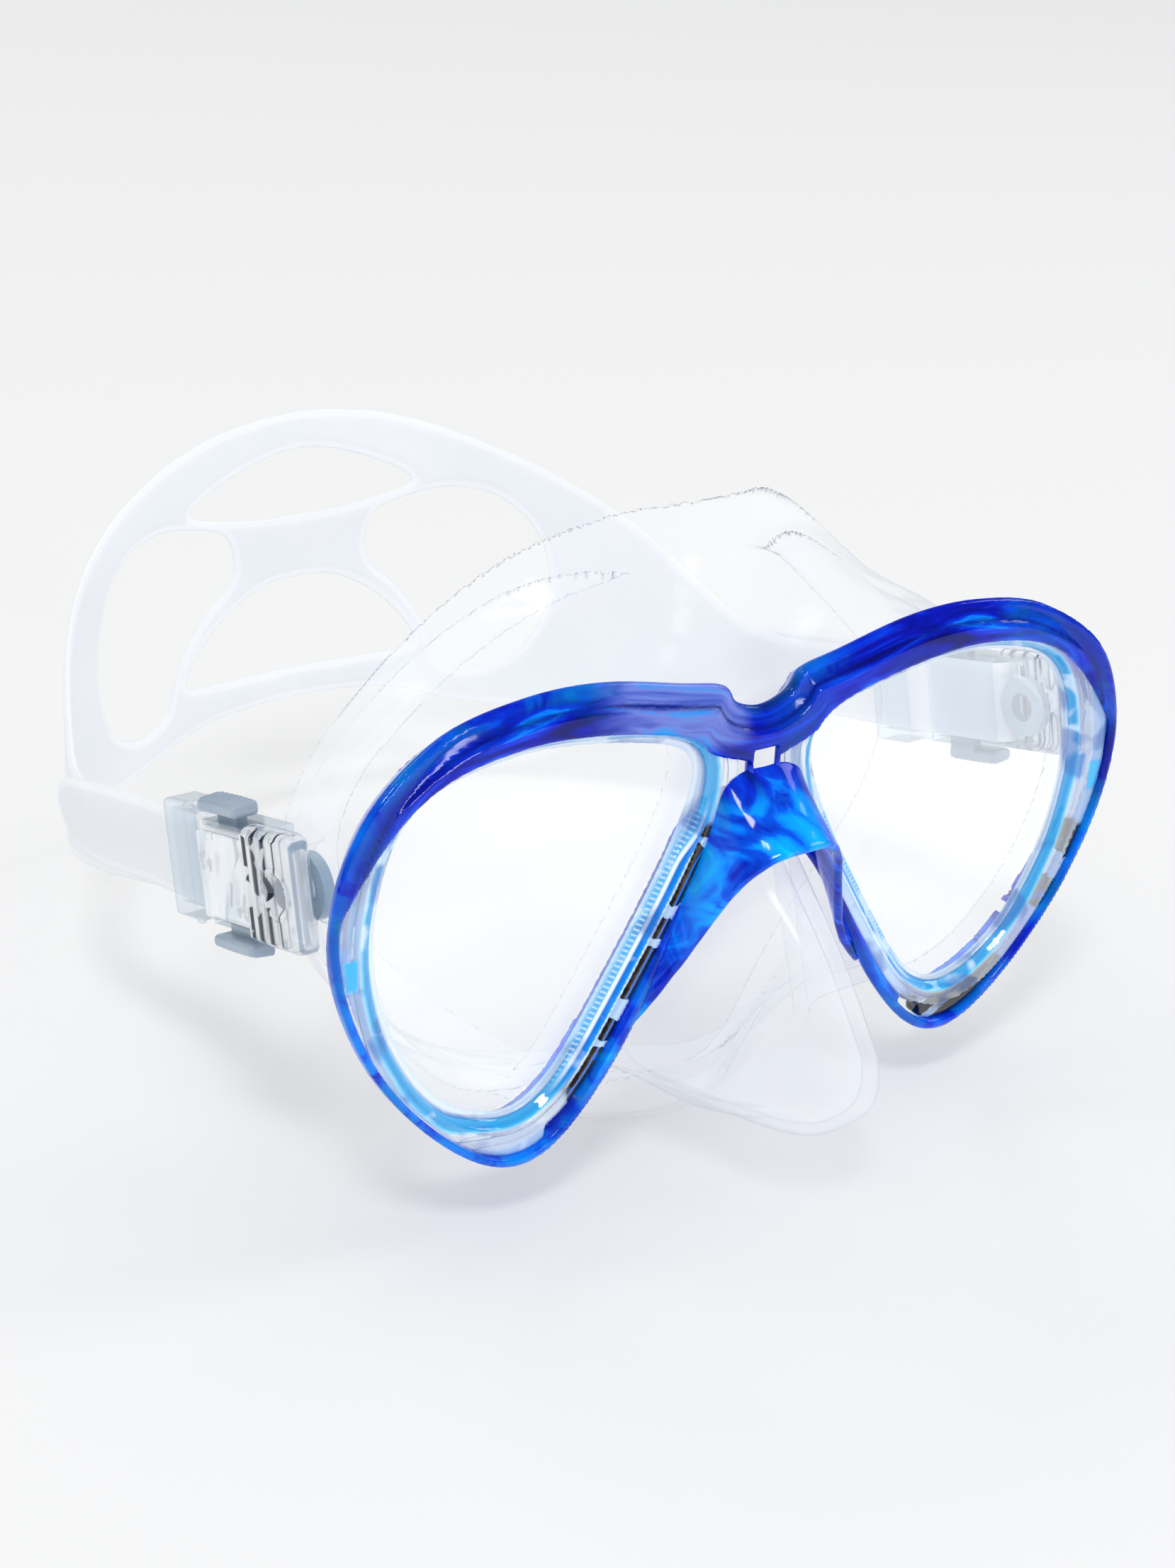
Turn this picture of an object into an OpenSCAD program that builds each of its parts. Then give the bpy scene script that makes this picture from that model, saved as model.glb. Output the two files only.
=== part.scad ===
// Two-lens diving mask with a clear soft skirt, squeeze buckles and a split head strap.
// Millimetres. +Z is up, the lenses face -Y, and the origin is midway between the lenses
// on the flat front land of the frame.

/* [Mask] */
// Overall width of the frame
frame_w = 162; // [156:1:168]
// Depth of the frame from its front land to its back
frame_d = 7; // [6.8:0.1:9]
// Width of the clear retaining ring round each lens opening
ring_w = 4.4; // [4:0.1:4.4]
// Thickness of each lens
lens_t = 3; // [2.5:0.1:3]
// Wall thickness of the soft skirt
skirt_t = 2.2; // [1.8:0.1:2.6]
// Distance from the front land to the forehead seal
seal_y = 20.5; // [20:0.5:26]
// Radius of the curve that the seal follows round the face
face_r = 118; // [100:1:125]

/* [Strap] */
// Height of the strap where it runs to the buckles
strap_h = 14.6; // [12:0.1:14.6]
// Thickness of the strap
strap_t = 1.5; // [1.2:0.1:1.5]
// Distance from the front land to the back of the head pad
loop_y = 147; // [135:1:160]
// Angle by which the strap and buckles hang down towards the back
hang = 14; // [8:1:18]

/* [Buckle] */
// Radius of the strap roller
roller_r = 1.3; // [1.2:0.1:1.3]
// Radius of the swivel pin
swivel_r = 2.5; // [2:0.1:2.5]
// Radial clearance of turning parts
running = 0.06; // [0.03:0.01:0.1]
// Distance a button travels when it is squeezed
button_travel = 1.5; // [1:0.1:1.5]

/* [Hidden] */
$fn = 48;

// Scale of the front outlines, which are drawn for a 162 mm frame
k = frame_w / 162;

// Anchors of one lens opening: distance from the centre line, height
lens_anchors = [
    [71, 4], [64.5, 20], [46, 25.2], [24, 22.8], [12.6, 17.5], [15.4, 4.4],
    [28.7, -18.5], [38.5, -32], [47.6, -35.4], [59.5, -28.8], [68.6, -13.5]
];

// Anchors of one half of the frame's outline, from the brow valley to the nose arch
frame_anchors = [
    [0, 25], [5.5, 26.5], [8.6, 29.8], [16.7, 31.6], [32, 34.7], [46, 34.9], [61, 31.7],
    [74.5, 22.7], [80.6, 9], [79.7, -5.3], [73.4, -20.4], [63.5, -33.2], [52.8, -41.2],
    [44, -43.4], [35.8, -39.2], [26.6, -28.8], [19.4, -15.5], [12.5, -4.5], [6, 0.6]
];

// Anchors of one half of the face seal's outline
seal_anchors = [
    [0, 53], [21, 49], [39, 38], [53, 26], [63, 13], [66, -3], [59, -20], [46, -36],
    [31, -48], [14, -54.5]
];

// Opening between the brow band and the nose bridge
bridge_gap = [[-2.6, 18.2], [2.6, 18.2], [2, 14.4], [-2, 14.4]];

// Part of the front land that the nose visor covers, set back so that the land lies free
nose_zone = [[-6, 14], [6, 14], [11.8, 6.6], [20.2, -7.4], [20.2, -13], [-20.2, -13], [-20.2, -7.4], [-11.8, 6.6]];
zone_y = 0.6;

// Depths through the frame: brow lip, retaining ring, lens
lip_t = 0.8;
fit_gap = 0.1;
ring_back = frame_d - lens_t - 2 * fit_gap;
lip_z = 8;
lip_cover = 2.2;
lens_grow = 2;
// Steps by which the frame tapers to its back: depth, inset
taper = [[0, 0], [1, 1.5], [3, 2.8], [5, 4.8]];

// Skirt
skirt_y = frame_d + 0.2;
front_inset = 10;
seal_w = 13;
seal_back = 34;
nose_base = [[-9, 2], [9, 2], [19, -14], [31, -36], [24, -45], [-24, -45], [-31, -36], [-19, -14]];
nose_tip = [4.4, -16.6, -32.8];
nose_tip_r = 9.4;
lug_x = 73.15;
lug_r = 6.2;

// Swivel axis of the buckles
swivel_x = 74.65 * k;
swivel_y = 15.95;
swivel_z = 5.1;
disc_r = 5.3;
disc_out = 0.4;

// Buckle, drawn with x outwards, y towards the strap, z up and the swivel axis at the origin
wall_in = strap_h / 2 + 0.3;
wall_out = wall_in + 0.8;
buckle_back = 23.5;
base_x = [0.5, 1.5];
base_y = [-3.2, 4.6];
tray_y = 6.9;
tray_t = 1;
roller_x = 1.6;
roller_y = 8;
pin_r = 0.8;
strap_gap = 0.15;
cover_x = [4.7, 5.7];
cover_back = 10;
// Outline of the hood over the swivel pin, seen along the buckle's height
hood_plan = [[1.6, 10], [5.7, 10], [5.7, -6.8], [5.2, -8], [4.2, -7.8], [2.9, -6], [1.6, -4.2]];
// Outline of the same hood seen along the swivel axis
hood_side = [
    [10, 9.2], [-4.6, 9.2], [-6.8, 8.4], [-8.1, 6.6], [-8.1, -6.6], [-6.8, -8.4], [-4.6, -9.2],
    [10, -9.2]
];
pawl_y = 13;
pawl_pin_r = 0.6;
pawl_half = 4.4;
button_x = [1.2, 5.3];
button_y = [11.2, 22.6];
button_z = [wall_out + button_travel + 0.05, wall_out + button_travel + 2.3];
tongue_x = [0.45, 2.75];
tongue_y = [15.6, 22];
tongue_z = 6.3;
spring_y = 20.4;
spring_r = 1;
spring_wire = 0.22;
spring_turns = 6;

// Strap
run_layer = roller_r + strap_gap;
run_x = swivel_x + roller_x - run_layer;
layer_gap = 0.35;
keeper_y = [30, 39];
keeper_wall = 1.5;
run_half = strap_h / 2 + 0.2;
pad_start = 122;

// Plan of one half of the strap's outer face, from the buckle to the middle of the head pad
plan_anchors = [
    [run_x, 40], [run_x, 48], [run_x + 0.4, 57], [76.4, 70], [77, 82], [75.3, 94], [70.6, 106.5],
    [64.2, 118.5], [54.7, 130], [42.3, 139], [25.5, 145], [0, loop_y]
];

// Plan of the strap's free tail, outside the first layer
tail_plan = [[3.05, 24], [0.5, 30], [0.5, 39], [1.1, 46], [2.2, 58], [2.3, 70], [0.6, 80], [-0.9, 87]];

// Side outline of the free tail
tail_side = [
    [-20, -7.3], [39, -7.3], [50, -5.2], [66, -4], [76, -2.6], [82, -0.6], [85.4, 2.4],
    [84.4, 5.4], [80, 7.6], [72, 8.9], [60, 9], [50, 8.4], [39, 7.3], [-20, 7.3]
];

// Anchors of one half of the head pad's outline, from the top middle to the bottom middle
pad_anchors = [
    [0, 35.5], [15, 34], [28, 30.5], [42, 25], [54, 18.4], [66, 11], [80, 0],
    [80, -30], [66, -31], [50, -31], [36, -28.5], [20, -25], [0, -24]
];

// Anchors of the openings in the head pad: top, bottom and one side
top_opening = [[0, 28], [13, 25.3], [25.5, 18.6], [13, 15.2], [0, 14.5]];
low_opening = [[0, 1.6], [9, 0.5], [20, -6.5], [26.5, -16.6], [12, -17.7], [0, -17.5]];
side_opening = [
    [15, 6.5], [17, 12.6], [24, 15.2], [34, 16.4], [43, 14], [50, 6], [52, -6],
    [48, -18], [40, -23.5], [32, -21.5], [28.5, -12], [22.5, -3.5], [17, 1.5]
];

// A smooth closed curve through the anchors
function bend(a, b, c, d, t) =
    0.5 * (2 * b + (c - a) * t + (2 * a - 5 * b + 4 * c - d) * t * t
    + (3 * b - a - 3 * c + d) * t * t * t);
function smooth_loop(p, steps = 5) = let (n = len(p)) [
    for (i = [0 : n - 1]) for (s = [0 : steps - 1])
        bend(p[(i + n - 1) % n], p[i], p[(i + 1) % n], p[(i + 2) % n], s / steps)
];

// Both halves of an outline; an anchor on the centre line isn't repeated
function mirrored(p) = concat(p, [for (i = [len(p) - 1 : -1 : 0]) if (p[i].x > 0) [-p[i].x, p[i].y]]);

// Height of the middle of the hanging strap at a distance behind the front land
function hang_z(y) = swivel_z - tan(hang) * (y - swivel_y);

// Side outline of the strap from the buckle to the head pad
run_side = [
    [40, hang_z(40) + run_half], [92, hang_z(92) + run_half], [98, -4.6], [105, 0.4],
    [113, 7.2], [pad_start, 13.6], [pad_start, -31.2], [113, -29.4], [105, -26.4],
    [98, hang_z(98) - run_half - 0.6], [92, hang_z(92) - run_half], [40, hang_z(40) - run_half]
];

// A flat shape drawn in x and z, from depth a to depth b
module slab(a, b) translate([0, b, 0]) rotate([90, 0, 0]) linear_extrude(b - a) children();

module lens_outline(grow = 0) offset(r = grow) polygon(k * smooth_loop(lens_anchors));

module frame_outline(grow = 0) offset(delta = grow) polygon(k * smooth_loop(mirrored(frame_anchors), 4));

module seal_outline(grow = 0) offset(delta = grow) polygon(k * smooth_loop(mirrored(seal_anchors), 4));

module both_sides() {
    children();
    mirror([1, 0, 0]) children();
}

// Places a part on the left (-x) or right (+x) side
module on_side(side) if (side > 0) children(); else mirror([1, 0, 0]) children();

// Places a part drawn in buckle coordinates
module on_buckle(side)
    on_side(side) translate([swivel_x, swivel_y, swivel_z]) rotate([-hang, 0, 0]) children();

module block(x, y, z) translate([x[0], y[0], z[0]]) cube([x[1] - x[0], y[1] - y[0], z[1] - z[0]]);

// Frame ----------------------------------------------------------------------------------

module nose_visor() {
    hull() {
        block([-5, 5], [0, 2], [11.4, 13.6]);
        both_sides() translate([6, -11, 4.6]) sphere(r = 1.4, $fn = 24);
    }
    both_sides() hull() {
        translate([6, -11, 4.6]) sphere(r = 1.4, $fn = 24);
        block([8, 11], [0.2, 2], [0, 6]);
        block([17, 19.4], [0.2, 2], [-12, -8]);
    }
}

module frame() color([0.03, 0.14, 0.78]) {
    difference() {
        union() {
            nose_visor();
            difference() {
                for (i = [0 : len(taper) - 1])
                    slab(taper[i][0], i + 1 < len(taper) ? taper[i + 1][0] : frame_d)
                        frame_outline(-taper[i][1]);
                slab(-1, zone_y) polygon(nose_zone);
            }
        }
        both_sides() slab(-1, ring_back + fit_gap) lens_outline(ring_w);
        both_sides() slab(ring_back, frame_d + 1) lens_outline(lens_grow + fit_gap);
        slab(-1, frame_d + 1) polygon(bridge_gap);
    }
    // Lip of the brow band that covers the top of each retaining ring
    both_sides() slab(0, lip_t) intersection() {
        difference() {
            lens_outline(ring_w + 0.2);
            lens_outline(lip_cover);
        }
        translate([0, lip_z]) square([frame_w, frame_w]);
    }
}

module lens_ring(side) color([0.75, 0.9, 0.97]) on_side(side)
    slab(lip_t + fit_gap, ring_back) difference() {
        lens_outline(ring_w - fit_gap);
        lens_outline();
    }

module lens(side) color([0.85, 0.93, 0.95]) on_side(side)
    slab(ring_back + fit_gap, ring_back + fit_gap + lens_t) lens_outline(lens_grow);

// Skirt ----------------------------------------------------------------------------------

module front_outline(grow = 0) offset(delta = grow - front_inset) hull() frame_outline();

module skirt_form(inset) hull() {
    slab(skirt_y + inset, skirt_y + inset + 1) front_outline(-inset);
    slab(seal_y - 3, seal_back) seal_outline(-inset);
}

module face_form(r) translate([0, seal_y + face_r, -100]) cylinder(r = r, h = 200, $fn = 120);

module nose_form(inset) hull() {
    slab(skirt_y, skirt_y + skirt_t + inset) offset(delta = -inset) polygon(k * nose_base);
    both_sides() translate(nose_tip) sphere(r = nose_tip_r - inset, $fn = 32);
}

// Boss on the skirt's side that carries the swivel disc
module swivel_lug() translate([lug_x * k - 8, swivel_y, swivel_z]) rotate([0, 90, 0]) {
    cylinder(r1 = 10, r2 = lug_r, h = 6);
    cylinder(r = lug_r, h = 8);
}

// Flange that lies on the face
module seal_flange() intersection() {
    face_form(face_r + skirt_t);
    slab(skirt_y, seal_y + 40) difference() {
        seal_outline(1);
        seal_outline(-seal_w);
    }
}

module skirt() color([0.9, 0.94, 0.96]) difference() {
    union() {
        skirt_form(0);
        nose_form(0);
        both_sides() swivel_lug();
    }
    difference() {
        skirt_form(skirt_t);
        seal_flange();
    }
    face_form(face_r);
    nose_form(skirt_t);
    both_sides() slab(skirt_y - 1, skirt_y + skirt_t + 1) lens_outline(-0.5);
    slab(-1, frame_d + fit_gap) frame_outline(0.4);
}

// Buckle ---------------------------------------------------------------------------------

// A round bar along the swivel axis, between two distances from the mask's side
module swivel_bar(r, a, b, r2 = -1) translate([a, 0, 0]) rotate([0, 90, 0])
    cylinder(r1 = r, r2 = r2 < 0 ? r : r2, h = b - a);

module swivel_disc(side) color([0.55, 0.63, 0.7]) on_buckle(side) difference() {
    swivel_bar(disc_r, lug_x * k - swivel_x, disc_out);
    swivel_bar(swivel_r + running, lug_x * k - swivel_x - 1, 1);
}

module swivel_pin(side) color([0.8, 0.88, 0.92]) on_buckle(side) {
    swivel_bar(swivel_r, lug_x * k - swivel_x + 0.1, base_x[1] + 0.15);
    swivel_bar(swivel_r + 0.5, base_x[1] + 0.15, base_x[1] + 0.8);
    swivel_bar(swivel_r - 0.4, base_x[1] + 0.8, cover_x[0] - 0.3, 0.6);
}

// A shape drawn in y and z, from a to b along the swivel axis
module plate(a, b) translate([a, 0, 0]) rotate([90, 0, 90]) linear_extrude(b - a) children();

module buckle_base(side) color([0.78, 0.85, 0.89]) on_buckle(side) difference() {
    tray_x = roller_x - run_layer - strap_t - 0.1;
    union() {
        block(base_x, [0, base_y[1]], [-wall_out, wall_out]);
        plate(base_x[0], base_x[1]) intersection() {
            scale([1, wall_out / -base_y[0]]) circle(r = -base_y[0]);
            translate([-wall_out, 0]) square(2 * wall_out, center = true);
        }
        block([tray_x - tray_t, tray_x], [tray_y, buckle_back], [-wall_out, wall_out]);
        for (s = [0, 1]) mirror([0, 0, s]) {
            block([tray_x - tray_t, cover_x[0] - 0.1], [tray_y, buckle_back], [wall_in, wall_out]);
            block([base_x[0], cover_x[0] - 0.1], [base_y[1] - 2, tray_y], [wall_in, wall_out]);
        }
    }
    swivel_bar(swivel_r + running, 0, 2);
    // Windows for the button tongues
    for (s = [0, 1]) mirror([0, 0, s])
        block(tongue_x + [-0.15, 0.15], tongue_y + [-0.2, 0.2], [wall_in - 1, wall_out + 1]);
}

module buckle_cover(side) color([0.82, 0.92, 0.97]) on_buckle(side) {
    // Plate over the strap
    block(cover_x, [cover_back, buckle_back], [-wall_in + 0.3, wall_in - 0.3]);
    // Hood over the swivel pin
    difference() {
        intersection() {
            linear_extrude(4 * strap_h, center = true) polygon(hood_plan);
            plate(0, 10) polygon(hood_side);
        }
        intersection() {
            linear_extrude(2 * wall_out + 0.2, center = true) offset(delta = -1) polygon(hood_plan);
            plate(0, 10) offset(delta = -1) polygon(hood_side);
        }
        block([0, cover_x[0]], [-3.2, cover_back + 1], [-wall_out - 0.1, wall_out + 0.1]);
    }
}

module button(side, up) color([0.5, 0.58, 0.65]) on_buckle(side) mirror([0, 0, up > 0 ? 0 : 1]) {
    rib_y = button_y[0] + 1.6;
    hull() {
        block(button_x, button_y, [button_z[0], button_z[0] + 0.9]);
        block(button_x + [0.4, -1.2], button_y + [0.8, -0.8], [button_z[1] - 1, button_z[1]]);
    }
    // Ribs for grip
    for (i = [0 : 5])
        block(button_x + [0.5, -1.3], [rib_y + 1.5 * i, rib_y + 1.5 * i + 0.7], [button_z[1] - 0.2, button_z[1] + 0.3]);
    // Tongue that carries the spring and lifts the pawl
    block(tongue_x, tongue_y, [tongue_z, button_z[0] + 0.2]);
}

module strap_roller(side) color([0.75, 0.8, 0.84]) on_buckle(side)
    translate([roller_x, roller_y, -wall_in + 0.3]) difference() {
        cylinder(r = roller_r, h = 2 * wall_in - 0.6);
        translate([0, 0, -1]) cylinder(r = pin_r + running, h = 2 * wall_in + 2);
    }

module roller_pin(side) color([0.7, 0.73, 0.76]) on_buckle(side)
    translate([roller_x, roller_y, -wall_in]) cylinder(r = pin_r, h = 2 * wall_in);

module pawl(side) color([0.6, 0.68, 0.75]) on_buckle(side) difference() {
    union() {
        translate([roller_x, pawl_y, -pawl_half]) cylinder(r = 1.2, h = 2 * pawl_half);
        linear_extrude(2 * pawl_half, center = true) translate([roller_x, pawl_y])
            polygon([[-0.6, 0], [0.9, 0.6], [1.25, 4.4], [-0.2, 4]]);
    }
    translate([roller_x, pawl_y, -pawl_half - 1]) cylinder(r = pawl_pin_r + running, h = 2 * pawl_half + 2);
}

module pawl_pin(side) color([0.7, 0.73, 0.76]) on_buckle(side)
    translate([roller_x, pawl_y, -wall_in]) cylinder(r = pawl_pin_r, h = 2 * wall_in);

// A coil of round wire as one closed tube
module button_spring(side) color([0.72, 0.74, 0.76]) on_buckle(side) {
    around = 5;
    steps = 9 * spring_turns;
    length = 2 * tongue_z - 2 * spring_wire - 0.1;
    points = [for (i = [0 : steps]) for (j = [0 : around - 1]) let (
        turn = 360 * spring_turns * i / steps,
        arm = spring_r + spring_wire * cos(360 * j / around)
    ) [
        roller_x + arm * cos(turn), spring_y + arm * sin(turn),
        length * (i / steps - 0.5) + spring_wire * sin(360 * j / around)
    ]];
    sides = [for (i = [0 : steps - 1]) for (j = [0 : around - 1]) let (
        a = i * around + j, b = i * around + (j + 1) % around
    ) each [[a, b + around, a + around], [a, b, b + around]]];
    start = [for (j = [around - 1 : -1 : 0]) j];
    end = [for (j = [0 : around - 1]) steps * around + j];
    polyhedron(points, concat([start], sides, [end]), convexity = 8);
}

// Strap ----------------------------------------------------------------------------------

// The strap's path round the roller, from the first layer to the tail, in buckle coordinates
module wrap_plan() {
    translate([roller_x - run_layer - strap_t, roller_y]) square([strap_t, keeper_y[1] - roller_y + 3]);
    difference() {
        translate([roller_x, roller_y]) circle(r = run_layer + strap_t);
        translate([roller_x, roller_y]) circle(r = run_layer);
        translate([roller_x - 6, roller_y]) square([12, 8]);
    }
    // The tail comes back outside and closes up to the first layer
    inner = concat([[roller_x + run_layer, roller_y]], tail_plan);
    polygon(concat(inner, [for (i = [len(inner) - 1 : -1 : 0]) inner[i] + [strap_t, 0]]));
}

module strap_end(side) on_buckle(side) intersection() {
    linear_extrude(4 * strap_h, center = true) wrap_plan();
    plate(-20, 20) polygon(tail_side);
}

module loop_wall() translate([0, 0, -60]) linear_extrude(120) difference() {
    points = smooth_loop(mirrored(plan_anchors), 4);
    polygon(points);
    offset(delta = -strap_t) polygon(points);
    square([2 * frame_w, 2 * (swivel_y + keeper_y[1])], center = true);
}

module head_pad() difference() {
    polygon(smooth_loop(mirrored(pad_anchors), 4));
    polygon(smooth_loop(mirrored(top_opening), 4));
    polygon(smooth_loop(mirrored(low_opening), 4));
    both_flat() polygon(smooth_loop(side_opening, 3));
}

module both_flat() {
    children();
    mirror([1, 0]) children();
}

module strap() color([0.85, 0.89, 0.93]) {
    for (side = [-1, 1]) strap_end(side);
    intersection() {
        loop_wall();
        union() {
            slab(pad_start - 0.3, loop_y + 1) head_pad();
            translate([-frame_w / 2, 0, 0]) plate(0, frame_w) polygon(run_side);
        }
    }
}

module strap_keeper(side) color([0.85, 0.92, 0.95]) on_buckle(side) {
    first = roller_x - run_layer - strap_t;
    last = first + 2 * strap_t + layer_gap;
    difference() {
        block([first - keeper_wall, last + keeper_wall], keeper_y, [-strap_h / 2 - 2.4, strap_h / 2 + 2.4]);
        block([first - 0.3, last + 0.3], keeper_y + [-1, 1], [-strap_h / 2 - 0.5, strap_h / 2 + 0.5]);
    }
}

frame();
lens_ring(-1);  // lens_ring_left
lens_ring(1);  // lens_ring_right
lens(-1);  // lens_left
lens(1);  // lens_right
skirt();
swivel_disc(-1);  // swivel_disc_left
swivel_disc(1);  // swivel_disc_right
swivel_pin(-1);  // swivel_pin_left
swivel_pin(1);  // swivel_pin_right
buckle_base(-1);  // buckle_base_left
buckle_base(1);  // buckle_base_right
buckle_cover(-1);  // buckle_cover_left
buckle_cover(1);  // buckle_cover_right
button(-1, 1);  // button_top_left
button(1, 1);  // button_top_right
button(-1, -1);  // button_bottom_left
button(1, -1);  // button_bottom_right
strap_roller(-1);  // strap_roller_left
strap_roller(1);  // strap_roller_right
roller_pin(-1);  // roller_pin_left
roller_pin(1);  // roller_pin_right
pawl(-1);  // pawl_left
pawl(1);  // pawl_right
pawl_pin(-1);  // pawl_pin_left
pawl_pin(1);  // pawl_pin_right
button_spring(-1);  // button_spring_left
button_spring(1);  // button_spring_right
strap();
strap_keeper(-1);  // strap_keeper_left
strap_keeper(1);  // strap_keeper_right
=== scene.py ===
"""A two-lens diving mask: smooth skins and materials around the CAD part, on a pale stage.

Each soft or moulded shape is a distance field in millimetres that is turned into a mesh. The
lenses and the small hard pieces of the buckles stay as the CAD made them, with small bevels.
"""
import math
import bpy
import numpy as np
from mathutils import Matrix, Vector


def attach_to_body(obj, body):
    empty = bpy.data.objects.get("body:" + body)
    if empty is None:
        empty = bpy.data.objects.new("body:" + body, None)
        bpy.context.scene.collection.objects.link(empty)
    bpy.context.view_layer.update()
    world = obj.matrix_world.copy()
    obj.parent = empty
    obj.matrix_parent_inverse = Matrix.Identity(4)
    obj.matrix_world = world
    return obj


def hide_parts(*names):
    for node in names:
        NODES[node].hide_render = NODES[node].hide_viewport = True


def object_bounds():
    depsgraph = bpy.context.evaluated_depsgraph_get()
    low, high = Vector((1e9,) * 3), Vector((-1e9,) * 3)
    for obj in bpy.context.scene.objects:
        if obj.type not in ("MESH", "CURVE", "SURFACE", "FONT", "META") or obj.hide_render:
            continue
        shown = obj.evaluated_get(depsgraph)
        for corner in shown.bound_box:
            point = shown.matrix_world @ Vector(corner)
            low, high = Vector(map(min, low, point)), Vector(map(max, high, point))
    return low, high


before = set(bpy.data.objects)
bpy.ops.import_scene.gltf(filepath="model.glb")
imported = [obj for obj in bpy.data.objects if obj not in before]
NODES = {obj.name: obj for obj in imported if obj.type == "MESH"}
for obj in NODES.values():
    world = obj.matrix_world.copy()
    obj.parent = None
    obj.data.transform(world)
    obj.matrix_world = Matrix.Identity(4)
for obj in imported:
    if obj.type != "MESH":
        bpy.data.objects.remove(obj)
CAD_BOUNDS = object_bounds()
COARSE = 1.0

# All shapes below are drawn in millimetres in the part's own frame: x across, y back, z up.
MM = 0.001
SIDES = ((-1, "left"), (1, "right"))
REFINE_PASSES = 2

# ---------------------------------------------------------------- outlines

# Seen from the front as (x, z), the right side only.
LENS = [
    (71, 4), (64.5, 20), (46, 25.2), (24, 22.8), (12.6, 17.5), (15.4, 4.4),
    (28.7, -18.5), (38.5, -32), (47.6, -35.4), (59.5, -28.8), (68.6, -13.5),
]
FRAME = [
    (0, 25), (5.5, 26.5), (8.6, 29.8), (16.7, 31.6), (32, 34.7), (46, 34.9), (61, 31.7),
    (74.5, 22.7), (80.6, 9), (79.7, -5.3), (73.4, -20.4), (63.5, -33.2), (52.8, -41.2),
    (44, -43.4), (35.8, -39.2), (26.6, -28.8), (19.4, -15.5), (12.5, -4.5), (6, 0.6),
]
SEAL = [
    (0, 54), (12, 53), (21, 49.5), (30, 44.5), (40, 37), (51, 27.5), (61, 17), (66.5, 5),
    (66, -8), (60, -22), (48, -36), (32, -49), (14, -56),
]
SKIRT_FRONT = [
    (0, 24), (16, 27), (34, 29), (52, 27.5), (66, 19), (72, 6), (70.5, -8), (64, -21),
    (54, -31), (44, -35), (30, -36), (0, -36),
]
# The nose pocket seen from the side, as (y, z).
NOSE_SIDE = [
    (12, 8), (1, 5), (-10, -3), (-21, -13), (-27.5, -22), (-29.8, -28), (-27.4, -35.8),
    (-20, -42.8), (-8, -45.6), (12, -48),
]
BUCKLE_TILT = math.radians(14)
SWIVEL = np.array([74.65, 15.95, 5.1])


def bend(a, b, c, d, t):
    """A Catmull-Rom curve from b to c, with a and d as its neighbours."""
    return 0.5 * (
        2 * b + (c - a) * t + (2 * a - 5 * b + 4 * c - d) * t * t
        + (3 * b - a - 3 * c + d) * t * t * t
    )


def smooth_loop(anchors, steps=6):
    """A closed smooth line through all the anchors."""
    p = np.array(anchors, float)
    n = len(p)
    out = []
    for i in range(n):
        for s in range(steps):
            out.append(bend(p[i - 1], p[i], p[(i + 1) % n], p[(i + 2) % n], s / steps))
    return np.array(out)


def smooth_line(anchors, steps=8):
    """An open smooth line through all the anchors."""
    p = np.array(anchors, float)
    p = np.vstack([2 * p[0] - p[1], p, 2 * p[-1] - p[-2]])
    out = []
    for i in range(1, len(p) - 2):
        for s in range(steps):
            out.append(bend(p[i - 1], p[i], p[i + 1], p[i + 2], s / steps))
    out.append(p[-2])
    return np.array(out)


class Path:
    """A plan curve measured along its length."""

    def __init__(self, points):
        self.p = np.array(points, float)
        steps = np.linalg.norm(np.diff(self.p, axis=0), axis=1)
        self.s = np.concatenate([[0], np.cumsum(steps)])
        self.length = self.s[-1]

    def at(self, s):
        return np.stack([np.interp(s, self.s, self.p[:, i]) for i in (0, 1)], 1)

    def normal(self, s):
        reach = 0.6
        d = self.at(np.minimum(s + reach, self.length)) - self.at(np.maximum(s - reach, 0))
        d /= np.linalg.norm(d, axis=1)[:, None]
        return np.stack([d[:, 1], -d[:, 0]], 1)


def both_halves(half):
    """A right half outline and its mirror image, joined at x = 0."""
    return list(half) + [(-x, z) for x, z in reversed(half) if x > 0]


LENS_LINE = smooth_loop(LENS)
# The visible edge runs a little inside the outline at the sides, and lower at the bottom.
FRAME_LINE = smooth_loop(both_halves(
    FRAME[:1] + [(x - 0.5 + 0.3 * (x < 8), z - 0.8 * (z < -35)) for x, z in FRAME[1:]]
))
SEAL_LINE = smooth_loop(both_halves(SEAL), 4)
SKIRT_FRONT_LINE = smooth_loop(both_halves(SKIRT_FRONT), 4)
NOSE_LINE = smooth_loop(NOSE_SIDE, 4)

# ---------------------------------------------------------------- distance fields and their skins


def flat_distance(line, u, v):
    """Distance from points to a closed outline, negative inside it."""
    u, v = np.broadcast_arrays(np.asarray(u, np.float32), np.asarray(v, np.float32))
    best = np.full(u.shape, 1e9, np.float32)
    inside = np.zeros(u.shape, bool)
    for a, b in zip(line, np.roll(line, -1, axis=0)):
        eu, ev = float(b[0] - a[0]), float(b[1] - a[1])
        length = eu * eu + ev * ev
        if length < 1e-9:
            continue
        wu, wv = u - float(a[0]), v - float(a[1])
        t = np.clip((wu * eu + wv * ev) / length, 0, 1)
        best = np.minimum(best, (wu - t * eu) ** 2 + (wv - t * ev) ** 2)
        if ev != 0:
            crosses = (v >= min(a[1], b[1])) & (v < max(a[1], b[1]))
            inside ^= crosses & (u < float(a[0]) + wv / ev * eu)
    return np.where(inside, -np.sqrt(best), np.sqrt(best))


def ramp(value, start, end):
    """Rises smoothly from 0 at start to 1 at end; start may be the larger."""
    t = np.clip((value - start) / (end - start), 0, 1)
    return t * t * (3 - 2 * t)


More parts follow.
